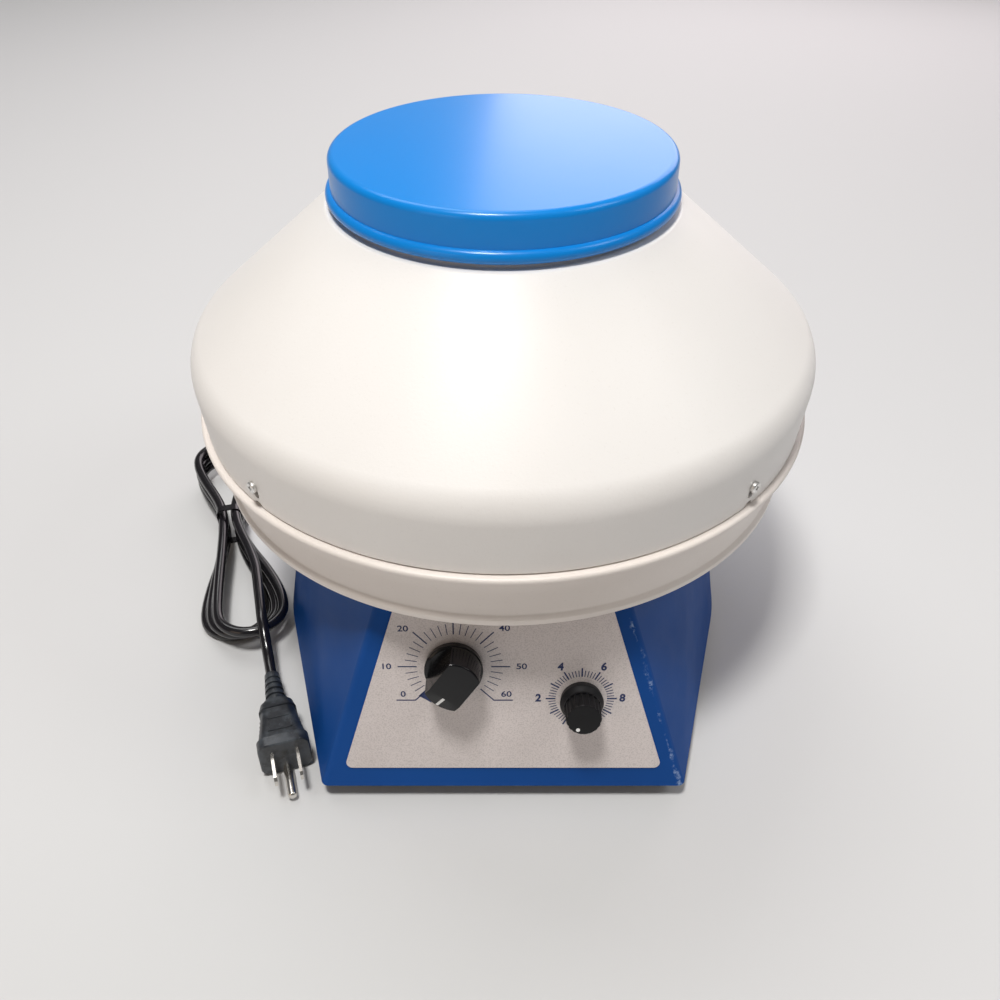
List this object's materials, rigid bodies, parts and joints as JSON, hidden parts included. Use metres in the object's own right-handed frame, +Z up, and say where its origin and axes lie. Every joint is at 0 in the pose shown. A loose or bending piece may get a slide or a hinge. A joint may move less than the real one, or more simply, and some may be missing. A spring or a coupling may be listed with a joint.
{
  "type": "clinical centrifuge",
  "caption": "Benchtop clinical centrifuge: conical cover on a pan and flared base, lift-off lid, angle rotor, timer and speed knobs, coiled mains cord.",
  "frame": {"origin": "on the surface it stands on, on the rotor's axis", "axes": "+Z up, -Y the front with the controls, +X to the right seen from the front"},
  "size_m": [0.3661, 0.3637, 0.275],
  "materials": {
    "blue_paint": "gloss enamel",
    "lid_paint": "gloss enamel",
    "cover_paint": "semi-gloss enamel",
    "pan_paint": "semi-gloss enamel",
    "panel_print": "satin film with printed dials",
    "zinc_steel": "zinc plated",
    "screw_steel": "nickel plated",
    "shaft_steel": "ground",
    "sleeve_steel": "drawn stainless",
    "motor_steel": "satin black",
    "cast_aluminium": "machined",
    "black_rubber": "matte",
    "cushion_rubber": "matte",
    "black_plastic": "moulded",
    "white_plastic": "moulded",
    "cord_vinyl": "glossy vinyl",
    "plug_vinyl": "moulded vinyl",
    "nickel": "nickel plated brass"
  },
  "bodies": {
    "chassis": {"base_housing": "blue_paint", "bottom_plate": "zinc_steel", "rubber_feet": "black_rubber", "foot_screws": "screw_steel", "control_panel": "panel_print", "lower_pan": "pan_paint", "pan_screws": "screw_steel", "upper_cover": "cover_paint", "cover_screws": "screw_steel", "cover_nuts": "zinc_steel", "mouth_trim": "black_rubber", "motor_plate": "zinc_steel", "motor_dampers": "black_rubber", "motor_body": "motor_steel", "motor_end_cap": "cast_aluminium", "brush_caps": "black_plastic", "timer_mechanism": "zinc_steel", "speed_control": "black_plastic", "control_nuts": "screw_steel", "strain_relief": "cord_vinyl", "cord_lead": "cord_vinyl", "cord_hank": "cord_vinyl", "cord_tie": "cord_vinyl", "cord_tail": "cord_vinyl", "plug_body": "plug_vinyl", "plug_blades": "nickel", "plug_ground_pin": "nickel"},
    "rotor": {"motor_shaft": "shaft_steel", "rotor_head": "cast_aluminium", "tube_sleeves": "sleeve_steel", "sleeve_cushions": "cushion_rubber", "rotor_nut": "shaft_steel"},
    "lid": {"lid": "lid_paint"},
    "timer_knob": {"timer_shaft": "shaft_steel", "timer_knob": "black_plastic", "timer_pointer": "white_plastic"},
    "speed_knob": {"speed_shaft": "shaft_steel", "speed_knob": "black_plastic", "speed_dot": "white_plastic"}
  },
  "joints": [
    {"name": "lid_lift", "type": "slide", "parent": "chassis", "child": "lid", "axis": [0, 0, 1], "range_m": [0, 0.12]},
    {"name": "rotor_spin", "type": "hinge", "parent": "chassis", "child": "rotor", "pos_m": [0, 0, 0.2], "axis": [0, 0, 1], "continuous": true},
    {"name": "timer_turn", "type": "hinge", "parent": "chassis", "child": "timer_knob", "pos_m": [-0.023, -0.1287, 0.077], "axis": [0, 0.9613, -0.2756], "range_deg": [0, 279]},
    {"name": "speed_turn", "type": "hinge", "parent": "chassis", "child": "speed_knob", "pos_m": [0.037, -0.13358, 0.05999], "axis": [0, 0.9613, -0.2756], "range_deg": [0, 304]}
  ]
}
